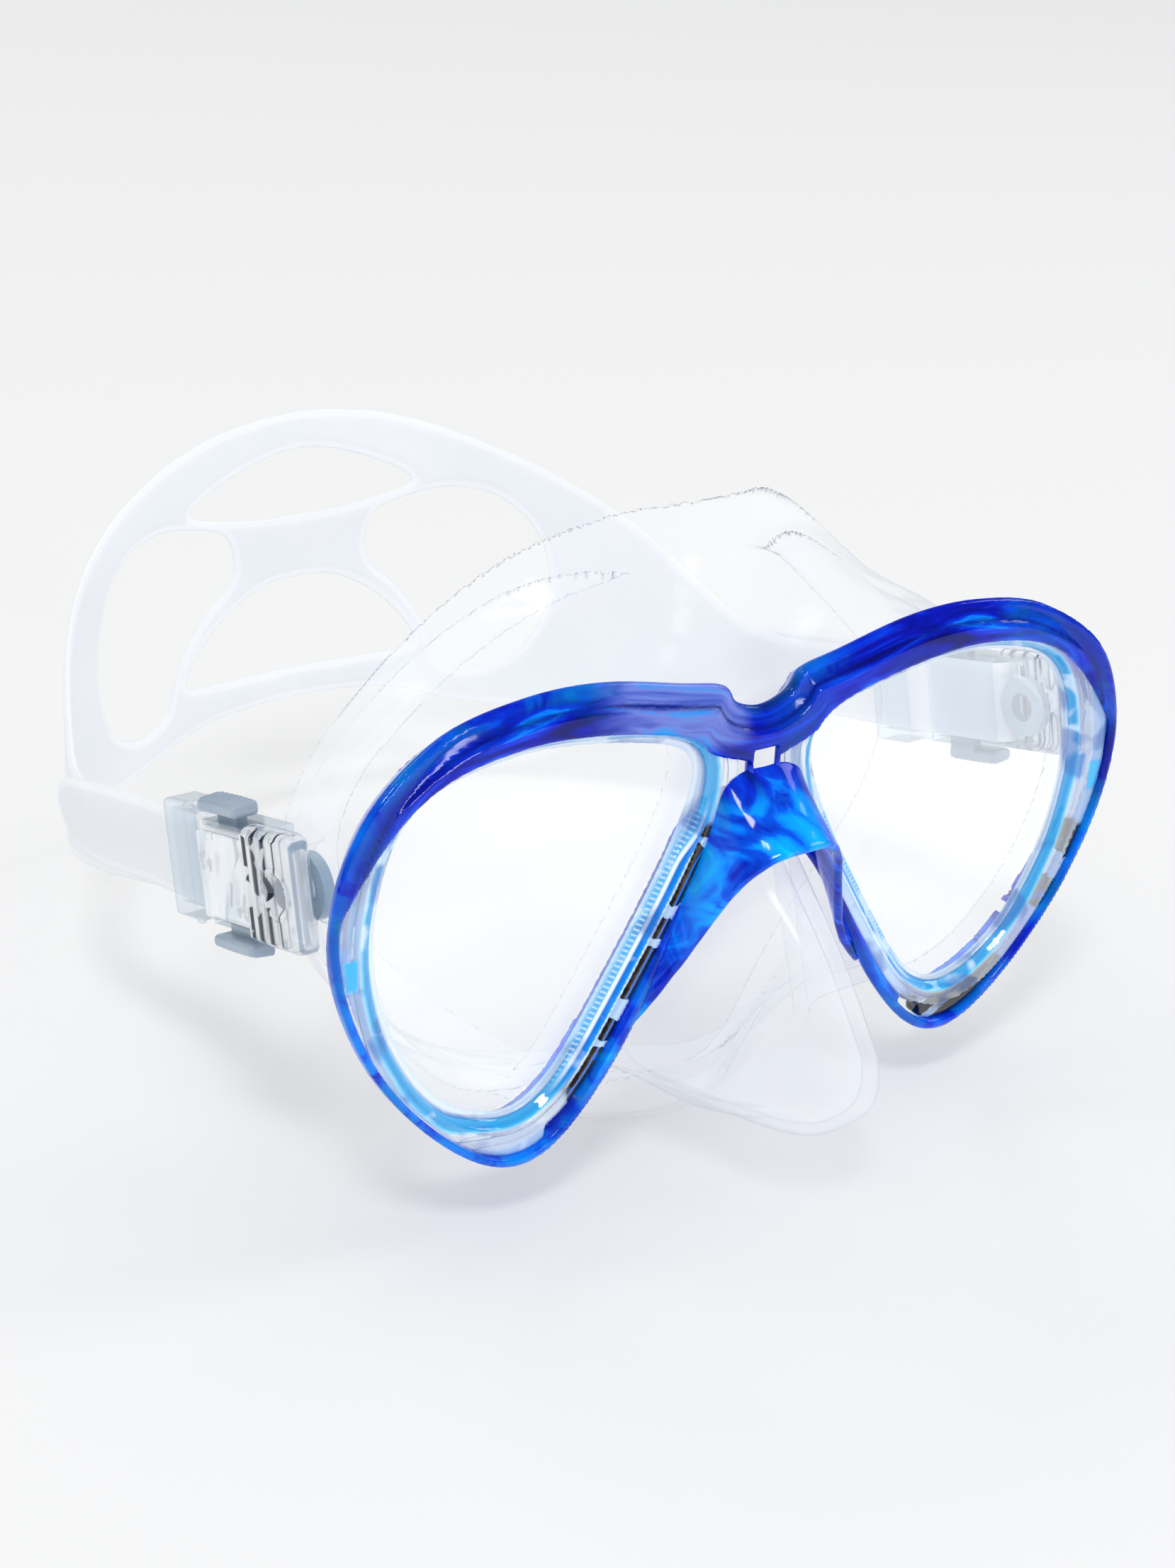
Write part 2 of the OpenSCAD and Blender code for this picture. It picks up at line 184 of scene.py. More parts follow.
def join(a, b, r):
    """Smooth union of two fields."""
    h = np.clip(0.5 + 0.5 * (b - a) / r, 0, 1)
    return b * (1 - h) + a * h - r * h * (1 - h)


def meet(a, b, r):
    """Smooth intersection of two fields."""
    return -join(-a, -b, r)


def box_field(x, y, z, low, high, r):
    """A box with rounded edges."""
    mid = [(a + b) / 2 for a, b in zip(low, high)]
    half = [(b - a) / 2 - r for a, b in zip(low, high)]
    q = [np.abs(v - m) - h for v, m, h in zip((x, y, z), mid, half)]
    out = np.sqrt(sum(np.maximum(v, 0) ** 2 for v in q))
    return out + np.minimum(np.maximum(np.maximum(q[0], q[1]), q[2]), 0) - r


# The twelve edges of a grid cell, as pairs of corner numbers.
EDGES = [(a, a | bit) for bit in (1, 2, 4) for a in range(8) if not a & bit]


def skin(field, low, high, step):
    """Vertices and quads of the surface where a field is zero, inside the box from low to high."""
    step = np.array(step if np.ndim(step) else [step] * 3, float) * COARSE
    axes = [np.arange(a, b + s, s, dtype=np.float32) for a, b, s in zip(low, high, step)]
    grid = np.meshgrid(*axes, indexing="ij", sparse=True)
    f = np.broadcast_to(field(*grid), [len(a) for a in axes]).astype(np.float32)
    solid = f < 0
    count = np.zeros([n - 1 for n in f.shape], np.int8)
    shifts = [(c & 1, c >> 1 & 1, c >> 2 & 1) for c in range(8)]
    for i, j, k in shifts:
        count += solid[i:f.shape[0] - 1 + i, j:f.shape[1] - 1 + j, k:f.shape[2] - 1 + k]
    active = (count > 0) & (count < 8)
    cells = np.argwhere(active)
    index = np.full(active.shape, -1, np.int64)
    index[active] = np.arange(len(cells))
    corner = [f[tuple((cells + s).T)] for s in shifts]
    total = np.zeros((len(cells), 3))
    weight = np.zeros(len(cells))
    for a, b in EDGES:
        fa, fb = corner[a], corner[b]
        cut = (fa < 0) != (fb < 0)
        t = np.where(cut, fa / np.where(cut, fa - fb, 1), 0)
        start, end = np.array(shifts[a]), np.array(shifts[b])
        total += np.where(cut[:, None], start + t[:, None] * (end - start), 0)
        weight += cut
    points = (cells + total / weight[:, None]) * step + np.array(low)
    faces = []
    for axis in range(3):
        u, v = (axis + 1) % 3, (axis + 2) % 3
        first = [slice(None)] * 3
        second = [slice(None)] * 3
        first[axis], second[axis] = slice(0, -1), slice(1, None)
        first[u] = second[u] = slice(1, -1)
        first[v] = second[v] = slice(1, -1)
        here, there = solid[tuple(first)], solid[tuple(second)]
        for state in (True, False):
            at = np.argwhere((here != there) & (here == state))
            at[:, u] += 1
            at[:, v] += 1
            ring = []
            for du, dv in ((-1, -1), (0, -1), (0, 0), (-1, 0)):
                c = at.copy()
                c[:, u] += du
                c[:, v] += dv
                ring.append(index[tuple(c.T)])
            quad = np.stack(ring, 1)
            faces.append(quad if state else quad[:, ::-1])
    faces = np.vstack(faces)
    probe = 0.3 * step.min()
    longest = 0.5 * step.min()
    for _ in range(REFINE_PASSES):
        value = field(*points.T.astype(np.float32)).astype(float)
        slope = np.zeros_like(points)
        for i in range(3):
            moved = points.copy()
            moved[:, i] += probe
            slope[:, i] = (field(*moved.T.astype(np.float32)) - value) / probe
        size = np.maximum((slope ** 2).sum(1), 0.05)
        shift = -(value / size)[:, None] * slope
        length = np.linalg.norm(shift, axis=1)
        shift *= np.minimum(1, longest / np.maximum(length, 1e-9))[:, None]
        points += shift
    return points, faces


def make(name, points, faces, material, attributes=None):
    """A mesh object from points in millimetres."""
    mesh = bpy.data.meshes.new(name)
    mesh.vertices.add(len(points))
    mesh.vertices.foreach_set("co", (np.asarray(points, np.float32) * MM).ravel())
    mesh.loops.add(faces.size)
    mesh.loops.foreach_set("vertex_index", faces.astype(np.int32).ravel())
    mesh.polygons.add(len(faces))
    mesh.polygons.foreach_set("loop_start", np.arange(len(faces), dtype=np.int32) * faces.shape[1])
    mesh.update(calc_edges=True)
    mesh.validate()
    mesh.polygons.foreach_set("use_smooth", np.full(len(mesh.polygons), True))
    for key, values in (attributes or {}).items():
        layer = mesh.attributes.new(key, "FLOAT", "POINT")
        layer.data.foreach_set("value", np.asarray(values, np.float32))
    mesh.materials.append(material)
    obj = bpy.data.objects.new(name, mesh)
    bpy.context.scene.collection.objects.link(obj)
    return obj


def attach(skin_object, body, slot, *nodes):
    """Put a skin on a body, in place of the CAD nodes it covers."""
    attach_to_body(skin_object, body)
    if nodes:
        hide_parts(*nodes)


def wound(faces, straight):
    """Faces as they are, or turned over for a mirrored piece."""
    return faces if straight else faces[:, ::-1]


def to_part(points, side):
    """Buckle coordinates (x outwards, y to the strap, z up) to the part's frame."""
    c, s = math.cos(BUCKLE_TILT), math.sin(BUCKLE_TILT)
    x, y, z = points.T
    return np.stack([
        side * (SWIVEL[0] + x), SWIVEL[1] + c * y + s * z, SWIVEL[2] - s * y + c * z
    ], 1)


# ---------------------------------------------------------------- materials


class Nodes:
    """A short way to write a node material."""

    def __init__(self, name):
        self.material = bpy.data.materials.new(name)
        self.material.use_nodes = True
        self.tree = self.material.node_tree
        self.tree.nodes.clear()
        self.out = self.tree.nodes.new("ShaderNodeOutputMaterial")

    def link(self, value, socket):
        if isinstance(value, bpy.types.NodeSocket):
            self.tree.links.new(value, socket)
        elif value is not None:
            if socket.type == "RGBA" and len(value) == 3:
                value = (*value, 1)
            socket.default_value = value

    def math(self, operation, a, b=None):
        node = self.tree.nodes.new("ShaderNodeMath")
        node.operation = operation
        self.link(a, node.inputs[0])
        self.link(b, node.inputs[1])
        return node.outputs[0]

    def times(self, a, b):
        return self.math("MULTIPLY", a, b)

    def plus(self, a, b):
        return self.math("ADD", a, b)

    def larger(self, a, b):
        return self.math("MAXIMUM", a, b)

    def sine(self, a):
        return self.math("SINE", a)

    def attribute(self, name):
        node = self.tree.nodes.new("ShaderNodeAttribute")
        node.attribute_name = name
        return node.outputs["Fac"]

    def facing(self, power=0.5):
        node = self.tree.nodes.new("ShaderNodeLayerWeight")
        node.inputs["Blend"].default_value = power
        return node.outputs["Facing"]

    def place(self, scale=(1, 1, 1)):
        coordinates = self.tree.nodes.new("ShaderNodeTexCoord")
        mapping = self.tree.nodes.new("ShaderNodeMapping")
        mapping.inputs["Scale"].default_value = scale
        self.tree.links.new(coordinates.outputs["Object"], mapping.inputs["Vector"])
        return mapping.outputs["Vector"]

    def noise(self, scale, detail=3, stretch=(1, 1, 1), distortion=0.0, vector=None):
        node = self.tree.nodes.new("ShaderNodeTexNoise")
        self.tree.links.new(vector or self.place(stretch), node.inputs["Vector"])
        node.inputs["Scale"].default_value = scale
        node.inputs["Detail"].default_value = detail
        node.inputs["Distortion"].default_value = distortion
        return node.outputs["Fac"]

    def ramp(self, value, stops):
        node = self.tree.nodes.new("ShaderNodeValToRGB")
        self.link(value, node.inputs["Fac"])
        elements = node.color_ramp.elements
        elements[0].position, elements[1].position = 0, 1
        while len(elements) < len(stops):
            elements.new(0.5)
        for element, (at, colour) in zip(elements, stops):
            element.position = at
            element.color = (*colour, 1) if np.ndim(colour) else (colour, colour, colour, 1)
        return node.outputs["Color"]

    def stripe(self, value, start, full, fade, end):
        """One between full and fade, nothing before start or after end."""
        return self.ramp(value, [(start, 0.0), (full, 1.0), (fade, 1.0), (end, 0.0)])

    def mix(self, fac, a, b):
        node = self.tree.nodes.new("ShaderNodeMix")
        node.data_type = "RGBA"
        self.link(fac, node.inputs["Factor"])
        # A mix node lists its colour sockets after the ones for numbers and vectors.
        self.link(a, node.inputs[6])
        self.link(b, node.inputs[7])
        return node.outputs[2]

    def bump(self, height, strength, distance):
        node = self.tree.nodes.new("ShaderNodeBump")
        self.link(height, node.inputs["Height"])
        node.inputs["Strength"].default_value = strength
        node.inputs["Distance"].default_value = distance
        return node.outputs["Normal"]

    def principled(self, colour, rough, normal=None, coat=0.0, **more):
        node = self.tree.nodes.new("ShaderNodeBsdfPrincipled")
        self.link(colour, node.inputs["Base Color"])
        self.link(rough, node.inputs["Roughness"])
        node.inputs["Coat Weight"].default_value = coat
        node.inputs["Coat Roughness"].default_value = 0.06
        if normal is not None:
            self.link(normal, node.inputs["Normal"])
        for key, value in more.items():
            self.link(value, node.inputs[key.replace("_", " ")])
        return node.outputs[0]

    def clear(self, colour=(1, 1, 1)):
        node = self.tree.nodes.new("ShaderNodeBsdfTransparent")
        self.link(colour, node.inputs["Color"])
        return node.outputs[0]

    def blend(self, fac, a, b):
        node = self.tree.nodes.new("ShaderNodeMixShader")
        self.link(fac, node.inputs[0])
        self.link(a, node.inputs[1])
        self.link(b, node.inputs[2])
        return node.outputs[0]

    def finish(self, shader):
        self.tree.links.new(shader, self.out.inputs["Surface"])
        return self.material


def blue_plastic():
    """Deep translucent blue: streaks run along the band, lighter where the plastic is thin, with
    painted highlights, a painted reflection, a painted shade line and a painted glow.
    """
    m = Nodes("blue_plastic")
    place = m.tree.nodes.new("ShaderNodeCombineXYZ")
    m.link(m.times(m.attribute("rim"), 0.42), place.inputs["X"])
    m.link(m.times(m.attribute("run"), 0.050), place.inputs["Y"])
    streaks = m.noise(1.0, 4, distortion=0.9, vector=place.outputs["Vector"])
    patches = m.noise(85, 3, (1.0, 0.8, 1.4), 1.2)
    broad = m.noise(30, 2, (1, 1, 1), 0.5)
    depth = m.attribute("depth")
    deep = m.ramp(streaks, [
        (0.33, (0.0, 0.002, 0.12)), (0.39, (0.0, 0.003, 0.22)), (0.50, (0.0, 0.005, 0.36)),
        (0.58, (0.0, 0.022, 0.52)), (0.63, (0.0, 0.05, 0.62)), (0.68, (0.0, 0.19, 0.74)),
        (0.73, (0.0, 0.03, 0.5)),
    ])
    light = m.ramp(patches, [
        (0.33, (0.0, 0.015, 0.38)), (0.41, (0.0, 0.08, 0.64)), (0.48, (0.0, 0.26, 0.86)),
        (0.58, (0.0, 0.34, 0.90)), (0.66, (0.0, 0.52, 0.90)),
    ])
    line = m.attribute("line")
    # Painted reflection: a greyish sheen over the top of the band left of the middle.
    haze_and_sheen = m.ramp(streaks, [
        (0.36, (0.02, 0.05, 0.38)), (0.45, (0.09, 0.13, 0.50)), (0.55, (0.15, 0.20, 0.55)),
        (0.64, (0.02, 0.28, 0.72)),
    ])
    glow = m.ramp(broad, [(0.45, 0.0), (0.65, 0.35)])
    # Lighter where the plastic is thin, with painted highlights on the frame and painted light on the
    # bridge, from the attribute read above.
    body = m.mix(m.larger(depth, m.times(glow, 0.5)), deep, light)
    body = m.mix(m.times(m.attribute("haze_and_sheen"), 0.85), body, haze_and_sheen)
    edge = m.ramp(m.facing(0.35), [(0.55, 0.0), (1.0, 0.6)])
    colour = m.mix(edge, body, (0.01, 0.06, 0.50))
    # Painted shade: a dark line along the step of the brow band.
    colour = m.mix(m.times(line, 0.8), colour, (0.0, 0.002, 0.10))
    height = m.plus(streaks, m.times(patches, m.attribute("swirl")))
    normal = m.bump(height, 0.16, 0.0005)
    # Painted glow: the plastic emits its own colour.
    shader = m.principled(
        colour, 0.09, normal, 0.25,
        Emission_Color=colour, Emission_Strength=0.30, Specular_IOR_Level=0.22,
    )
    return m.finish(m.blend(0.96, m.clear((0.1, 0.35, 0.95)), shader))


def ring_plastic():
    """Clear ring with painted refraction: light blue stripes of the frame seen through it, painted
    shade in the dark gaps behind it, painted glints and a painted glow.
    """
    m = Nodes("ring_plastic")
    across = m.attribute("across")
    nose = m.attribute("nose")
    along = m.attribute("along")
    wave = m.noise(90, 2, (1, 1, 1), 0.4)
    wide = m.plus(across, m.times(m.math("SUBTRACT", wave, 0.5), 0.05))
    # Painted refraction: stripes of the blue frame and dark lines, as seen through the clear ring.
    outer_stripes = m.ramp(wide, [
        (0.00, (0.72, 0.86, 0.94)), (0.08, (0.90, 0.95, 0.98)), (0.12, (0.03, 0.20, 0.50)),
        (0.14, (0.05, 0.38, 0.72)), (0.21, (0.02, 0.30, 0.66)), (0.25, (0.03, 0.40, 0.76)),
        (0.28, (0.30, 0.68, 0.90)), (0.31, (0.93, 0.97, 0.99)), (0.37, (0.88, 0.93, 0.96)),
        (0.39, (0.10, 0.18, 0.32)), (0.41, (0.92, 0.95, 0.98)), (0.52, (0.86, 0.91, 0.95)),
        (0.54, (0.25, 0.38, 0.58)), (0.57, (0.92, 0.95, 0.97)), (0.70, (0.35, 0.52, 0.78)),
    ])
    nose_stripes = m.ramp(across, [
        (0.00, (0.55, 0.75, 0.92)), (0.06, (0.12, 0.48, 0.86)), (0.16, (0.10, 0.44, 0.85)),
        (0.18, (0.85, 0.93, 0.98)), (0.205, (0.80, 0.90, 0.98)), (0.225, (0.0, 0.16, 0.70)),
        (0.31, (0.0, 0.30, 0.90)), (0.34, (0.75, 0.88, 0.97)), (0.37, (0.35, 0.55, 0.80)),
        (0.60, (0.60, 0.76, 0.92)), (0.63, (0.0, 0.05, 0.45)),
    ])
    stripes = m.mix(nose, outer_stripes, nose_stripes)
    # Painted glints: small pale flecks on the ring.
    painted_glints = m.ramp(m.noise(120, 2, (1, 1, 1), 0.3), [(0.60, 0.0), (0.66, 0.6)])
    shadows = m.ramp(m.noise(90, 2, (1, 1, 1), 0.3), [(0.36, 0.6), (0.42, 0.0)])
    stripes = m.mix(painted_glints, stripes, (0.80, 0.92, 0.98))
    stripes = m.mix(shadows, stripes, (0.02, 0.12, 0.45))
    swing = m.sine(m.times(along, 0.31))
    cells = m.sine(m.plus(m.times(along, 0.62), m.times(swing, 1.6)))
    cells = m.plus(cells, m.times(m.math("SUBTRACT", m.noise(420, 2), 0.5), 1.6))
    cells = m.ramp(m.plus(cells, 0.75), [(0.10, 0.0), (0.16, 1.0)])
    dark = m.ramp(m.times(cells, m.attribute("shade")), [(0.40, 0.0), (0.55, 1.0)])
    line = m.stripe(across, 0.46, 0.47, 0.49, 0.50)
    patch = m.ramp(m.noise(260, 2), [
        (0.40, (0.004, 0.003, 0.004)), (0.58, (0.02, 0.012, 0.008)), (0.66, (0.05, 0.035, 0.03)),
        (0.70, (0.0, 0.08, 0.5)),
    ])
    patch = m.mix(line, patch, (0.0, 0.20, 0.92))
    colour = m.mix(dark, stripes, patch)
    tab = m.attribute("tab")
    colour = m.mix(tab, colour, (0.02, 0.42, 0.88))
    knurl = m.sine(m.times(along, 6.0))
    strip = m.times(m.stripe(across, 0.05, 0.07, 0.14, 0.17), nose)
    knurl = m.times(knurl, strip)
    colour = m.mix(m.times(m.larger(knurl, 0.0), 0.8), colour, (0.70, 0.86, 0.96))
    normal = m.bump(m.plus(knurl, m.times(wave, 3.0)), 0.4, 0.0002)
    tint = m.ramp(wide, [
        (0.0, 0.50), (0.10, 0.50), (0.13, 0.94), (0.27, 0.92), (0.31, 0.35), (0.37, 0.30), (0.39, 0.80),
        (0.41, 0.30), (0.52, 0.30), (0.54, 0.75), (0.57, 0.30), (0.70, 0.70),
    ])
    alpha = m.larger(m.larger(tint, dark), m.times(nose, 0.88))
    alpha = m.larger(alpha, tab)
    # Painted glow: the ring emits its own colour.
    shader = m.principled(colour, 0.06, normal, 0.8, Emission_Color=colour, Emission_Strength=0.18)
    return m.finish(m.blend(alpha, m.clear((0.96, 0.985, 1.0)), shader))


def clear_rubber():
    """Clear silicone: nearly invisible face on, grey where it is seen along the wall."""
    m = Nodes("clear_rubber")
    facing = m.facing(0.5)
    cloud = m.noise(28, 3, (1, 1, 1), 0.8)
    colour = m.ramp(facing, [
        (0.0, (0.96, 0.965, 0.975)), (0.70, (0.90, 0.92, 0.94)), (0.92, (0.42, 0.49, 0.58)),
        (1.0, (0.05, 0.08, 0.14)),
    ])
    alpha = m.ramp(facing, [(0.0, 0.10), (0.5, 0.15), (0.80, 0.30), (0.94, 0.65), (1.0, 0.92)])
    alpha = m.times(alpha, m.ramp(cloud, [(0.3, 0.75), (0.7, 1.0)]))
    normal = m.bump(cloud, 0.06, 0.001)
    # Painted glow: the silicone emits its own colour.
    shader = m.principled(colour, 0.22, normal, 0.6, Emission_Color=colour, Emission_Strength=0.15)
    return m.finish(m.blend(alpha, m.clear((0.994, 0.996, 0.998)), shader))


def milky_rubber():
    """Milky silicone for the strap, a little lighter along its cut edges."""
    m = Nodes("milky_rubber")
    cloud = m.noise(35, 4, (1, 1, 1), 0.4)
    rim = m.ramp(m.attribute("rim"), [(0.0, 1.0), (0.14, 1.0), (0.22, 0.0), (1.0, 0.0)])
    body = m.ramp(cloud, [(0.3, (0.81, 0.83, 0.855)), (0.7, (0.85, 0.865, 0.885))])
    colour = m.mix(rim, body, (0.90, 0.908, 0.92))
    fine = m.noise(2400, 2)
    normal = m.bump(fine, 0.05, 0.0002)
    # Painted glow: the strap emits its own colour.
    shader = m.principled(colour, 0.38, normal, 0.2, Emission_Color=colour, Emission_Strength=0.12)
    glow = m.tree.nodes.new("ShaderNodeBsdfTranslucent")
    m.link((0.90, 0.91, 0.93), glow.inputs["Color"])
    body_shader = m.blend(0.25, shader, glow.outputs[0])
    return m.finish(m.blend(0.9, m.clear((0.9, 0.93, 0.97)), body_shader))


def crystal(name="crystal", tint=(0.86, 0.92, 0.96), low=0.10, high=0.85):
    """Clear plastic whose cover runs from low face on to high where it is seen edge on."""
    m = Nodes(name)
    facing = m.facing(0.5)
    colour = m.ramp(facing, [
        (0.0, tint), (0.55, (0.75, 0.82, 0.88)), (0.80, (0.20, 0.27, 0.36)),
        (0.95, (0.02, 0.03, 0.06)),
    ])
    alpha = m.ramp(facing, [(0.0, low), (0.45, low + 0.06), (0.72, 0.45), (0.9, high)])
    scratches = m.noise(500, 2, (1, 1, 6))
    normal = m.bump(scratches, 0.04, 0.0002)
    shader = m.principled(colour, 0.05, normal, 1.0)
    return m.finish(m.blend(alpha, m.clear((0.93, 0.96, 0.98)), shader))


def buckle_crystal():
    """Clear plastic with painted shade: dark bars at its moulded ridges."""
    m = Nodes("buckle_crystal")
    facing = m.facing(0.5)
    run = m.attribute("run")
    broken = m.ramp(m.noise(260, 2, (1, 1, 0.8), 0.4), [(0.40, 0.0), (0.43, 1.0)])
    # Painted shade: dark bars at the moulded ridges.
    ridge_shade = m.stripe(run, 0.505, 0.512, 0.524, 0.530)
    ridge_shade = m.larger(ridge_shade, m.stripe(run, 0.425, 0.432, 0.462, 0.468))
    ridge_shade = m.larger(ridge_shade, m.stripe(run, 0.335, 0.342, 0.362, 0.368))
    ridge_shade = m.larger(ridge_shade, m.stripe(run, 0.245, 0.25, 0.262, 0.268))
    marks = m.ramp(m.noise(330, 2, (1, 1, 0.5), 0.6), [(0.63, 0.0), (0.66, 0.8)])
    dark = m.larger(m.times(ridge_shade, broken), m.times(marks, 0.6))
    body = m.ramp(m.noise(190, 2, (1, 1, 0.35), 0.5), [
        (0.33, (0.45, 0.54, 0.64)), (0.42, (0.88, 0.93, 0.96)), (0.62, (0.98, 0.99, 1.0)),
    ])
    body = m.mix(m.attribute("front"), body, (0.22, 0.30, 0.42))
    rim = m.ramp(facing, [(0.60, 0.0), (0.90, 0.8)])
    colour = m.mix(rim, body, (0.10, 0.14, 0.22))
    colour = m.mix(dark, colour, (0.015, 0.02, 0.04))
    alpha = m.ramp(facing, [(0.0, 0.30), (0.5, 0.42), (0.9, 0.9)])
    alpha = m.larger(m.larger(alpha, dark), m.times(m.attribute("front"), 0.8))
    # Painted glow: the clear plastic emits its own colour.
    shader = m.principled(colour, 0.05, None, 1.0, Emission_Color=colour, Emission_Strength=0.12)
    return m.finish(m.blend(alpha, m.clear((0.97, 0.98, 0.99)), shader))


def satin(name, colour, dark):
    """Opaque plastic with a fine grain and slightly darker patches."""
    m = Nodes(name)
    grain = m.noise(1500, 3)
    worn = m.noise(120, 3)
    base = m.ramp(worn, [(0.3, dark), (0.7, colour)])
    rough = m.ramp(grain, [(0.0, 0.28), (1.0, 0.42)])
    normal = m.bump(grain, 0.12, 0.0002)
    return m.finish(m.principled(base, rough, normal, 0.4))


def steel():
    """Brushed stainless steel."""
    m = Nodes("steel")
    brushed = m.noise(900, 3, (1, 1, 12))
    rough = m.ramp(brushed, [(0, 0.2), (1, 0.38)])
    normal = m.bump(brushed, 0.15, 0.0001)
    return m.finish(m.principled((0.62, 0.64, 0.67), rough, normal, 0.0, Metallic=1.0))


def lens_glass():
    """Nearly invisible glass with a painted glow that brightens it at a shallow angle."""
    m = Nodes("lens_glass")
    facing = m.facing(0.5)
    haze_and_sheen = m.noise(12, 2)
    alpha = m.ramp(facing, [(0.0, 0.05), (0.7, 0.10), (1.0, 0.8)])
    alpha = m.plus(alpha, m.times(haze_and_sheen, 0.03))
    # Painted glow: white emission, shown more at a shallow angle and in faint patches.
    shader = m.principled(
        (0.97, 0.985, 1.0), 0.02, None, 1.0, Emission_Color=(1, 1, 1), Emission_Strength=0.6,
    )
    return m.finish(m.blend(alpha, m.clear((0.995, 1.0, 1.0)), shader))


BLUE = blue_plastic()
RING = ring_plastic()
RUBBER = clear_rubber()
MILKY = milky_rubber()
CRYSTAL = crystal()
MILK_CRYSTAL = crystal("milk_crystal", (0.92, 0.94, 0.97), 0.10, 0.45)
MOULDED = buckle_crystal()
GREY = satin("grey_plastic", (0.36, 0.44, 0.53), (0.30, 0.38, 0.47))
DISC = satin("disc_plastic", (0.46, 0.58, 0.66), (0.38, 0.50, 0.58))
STEEL = steel()
GLASS = lens_glass()

# ---------------------------------------------------------------- frame

# How far in from the frame's edge the brow band steps back.
BAND_STEP = 3.4


def brow(x, z):
    """Distance of a point past the front edge of the blue band, negative on the band."""
    ax = np.abs(x)
    outer = ramp(ax, 26, 44)
    fade = outer * ramp(z, 25, -4) + (1 - outer) * ramp(z, 19.5, 15)
    return 2.3 + 8.5 * fade - flat_distance(LENS_LINE, ax, z)


def nose_reach(x, z):
    """How far the clear ring spreads from the lens on the side next to the nose."""
    return 5.0 + 3.8 * ramp(z, 3, 10) * ramp(np.abs(x), 30, 20)


def low_corner(x, z):
    """One at the outer low corner of a lens, where the blue strip is narrower and thicker."""
    return ramp(np.abs(x), 44, 54) * ramp(z, 10, -4)


def frame_field(x, y, z):
    """The blue frame: a front plate with the brow band, and a body behind it."""
    ax = np.abs(x)
    rim = -flat_distance(FRAME_LINE, x, z)
    opening = flat_distance(LENS_LINE, ax, z)
    upper = ramp(z, -6, 14)
    sides = ramp(ax, 58, 78)
    corner = low_corner(x, z)
    strip = rim - (1.75 - 0.3 * upper - 0.45 * corner)
    reach = nose_reach(x, z)
    nose = np.maximum(reach + 0.1 - opening, ax - 42 + 10 * ramp(z, -20, -42))
    front_edge = join(join(brow(x, z), strip, 0.5), nose, 0.5)
    slope = 1.2 * upper * (1 - ramp(rim, 0.2, 5.2)) * (1 - 0.8 * sides)
    slope = slope - 0.35 * upper * ramp(rim, BAND_STEP, BAND_STEP + 0.5)
    raised = np.maximum(sides, ramp(z, -2, -24)) * (1 - 0.6 * ramp(rim, 3.0, 5.0) * sides)
    front = 0.1 + slope - 0.95 * raised
    # The back is shallower at the sides, to leave room for the buckle covers at the swing's limits.
    deepest = 6.9 - 2.7 * ramp(ax, 62, 76)
    back = np.minimum(front + 1.3 + 1.3 * corner + 1.5 * np.maximum(rim, 0), deepest)
    plate = meet(np.maximum(front - y, y - back), meet(front_edge, -rim, 0.5), 0.7)
    inner = np.maximum(2.2, reach - 2.4 - 30 * ramp(ax, 30, 34))
    body = np.maximum(np.maximum(3.9 - y, y - deepest), np.maximum(inner - opening, 3.2 - rim))
    whole = join(plate, body, 0.3)
    flare = 0.9 * np.maximum(y - 0.6, 0)
    gap = np.maximum(ax - 2.3 - flare, np.abs(z - 16.2) - 1.9 - flare)
    return meet(whole, -gap, 0.5)


def ring_field(x, y, z):
    """The right clear ring, bevelled towards the lens and grooved along its middle."""
    rim = -flat_distance(FRAME_LINE, x, z)
    opening = flat_distance(LENS_LINE, x, z)
    outer = np.maximum(1.9 - 0.45 * low_corner(x, z) - rim, opening - 10)
    inner = np.maximum(opening - nose_reach(x, z), 0.6 - rim)
    outline = np.where(x < 34 - 0.15 * z, inner, outer)
    bevel = 2.7 - 2.1 * ramp(opening, 0.6, 2.6) - 0.35 * ramp(opening, 3.0, 3.4)
    groove = 0.25 * np.exp(-((opening - 3.0) / 0.22) ** 2)
    shape = np.maximum(bevel + groove - y, y - 3.75)
    edge = np.maximum(0.05 - opening, outline)
    edge = np.maximum(edge, -brow(x, z) - 0.9)
    return meet(shape, edge, 0.35)


points, faces = skin(frame_field, (-83, -2.1, -45.5), (83, 8.2, 38), 0.62)
x, y, z = points.T
rim = -flat_distance(FRAME_LINE, x, z)
# Lighter where the lower plastic is thin; the top middle and the band's left edge get painted
# highlights.
thin = ramp(z, 6, -14) * 0.30 * ramp(np.abs(x), 14, 34)
painted_top_highlight = ramp(np.abs(x), 20, 6) * ramp(z, 25, 33) * 0.5
painted_edge_highlight = 0.22 * (1 - ramp(rim, 1.0, 3.0)) * ramp(x, 5, -10)
frame_zones = {
    "depth": np.clip(thin + painted_top_highlight + painted_edge_highlight, 0, 1),
    # A painted reflection on the top of the band left of the middle.
    "haze_and_sheen": ramp(x, -36, -26) * ramp(-x, 2, 6) * ramp(z, 19, 22),
    # A painted shade line along the band's step.
    "line": np.exp(-((rim - BAND_STEP) / 0.3) ** 2) * ramp(z, 2, 14),
    "rim": rim,
    "run": np.arctan2(z + 2, np.abs(x) - 42) * 42,
    "swirl": np.zeros(len(points)),
}
frame_skin = make("frame_skin", points, faces, BLUE, frame_zones)
attach(frame_skin, "mask", "frame", "frame")


